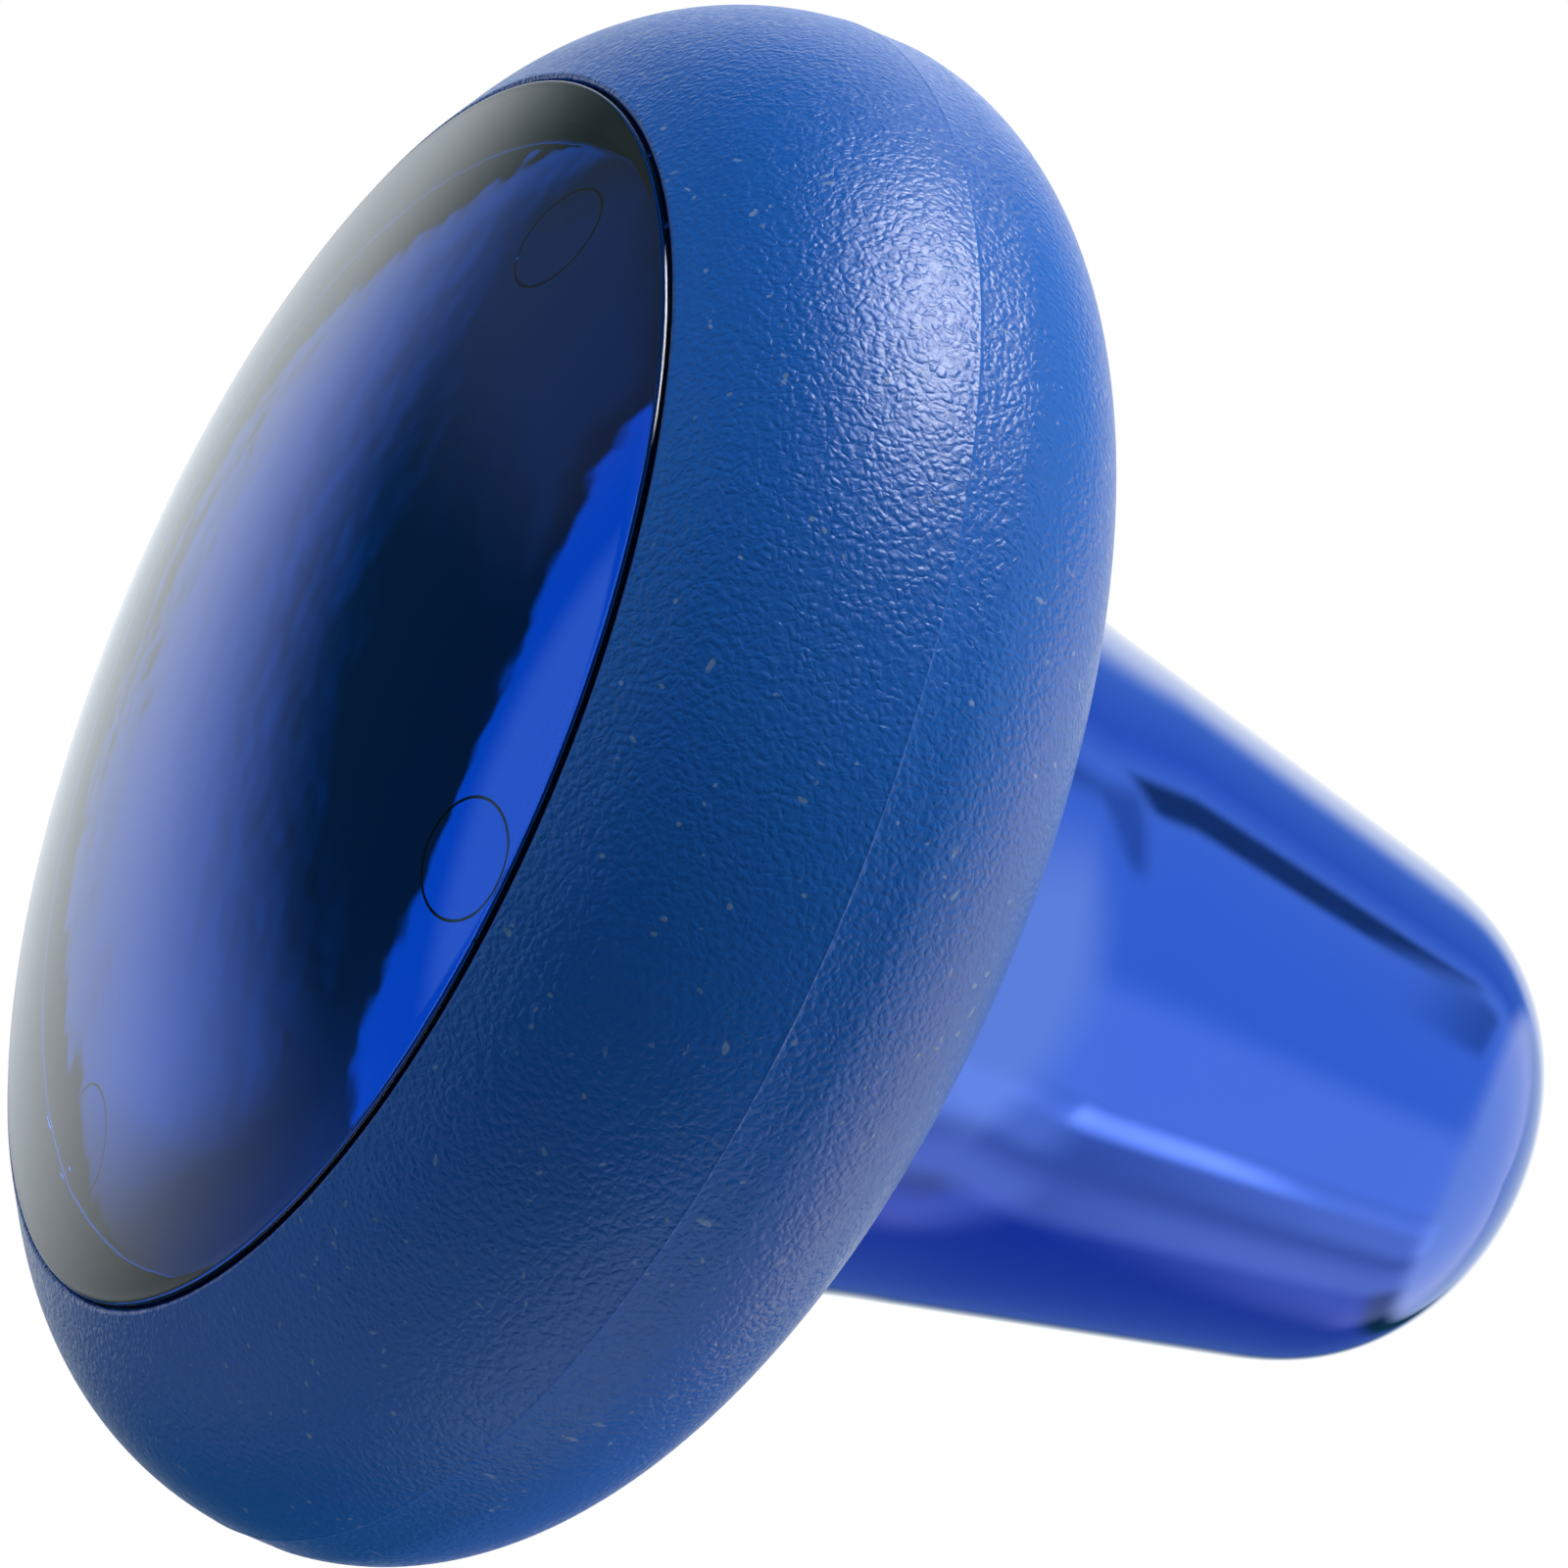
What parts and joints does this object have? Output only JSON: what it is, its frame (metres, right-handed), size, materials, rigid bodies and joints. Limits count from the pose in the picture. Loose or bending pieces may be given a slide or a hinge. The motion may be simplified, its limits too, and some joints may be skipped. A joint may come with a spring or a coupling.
{
  "type": "curling stone",
  "caption": "Palm-size curling stone: thick clear domed running face bonded over a blue mirror disc, in a textured rubber bumper ring, with a tapered, round-ended grip.",
  "frame": {"origin": "middle of the small flat at the lowest point of the domed running face, on the axis of revolution", "axes": "+Z is the axis of revolution and points from the dome through the ring to the end of the grip; X and Y are equal by symmetry"},
  "size_m": [0.08, 0.08, 0.08],
  "materials": {
    "clear_cap": "polished clear plastic",
    "blue_mirror": "metallised, blue lacquer",
    "grip_plastic": "glossy metallised lacquer",
    "bumper_rubber": "satin, fine leather grain",
    "carrier_plastic": "as moulded",
    "seal_rubber": "smooth",
    "screw_steel": "zinc plated",
    "ballast_steel": "turned",
    "insert_brass": "knurled outside"
  },
  "bodies": {
    "root": {"running_cap": "clear_cap", "reflector_disc": "blue_mirror", "cap_seal": "seal_rubber", "bumper_ring": "bumper_rubber", "front_bezel": "carrier_plastic", "back_shell": "carrier_plastic", "carrier_screws": "screw_steel", "ballast_disc": "ballast_steel", "bolt_washer": "screw_steel", "centre_bolt": "screw_steel", "handle_insert": "insert_brass", "handle_shell": "grip_plastic"}
  },
  "joints": []
}
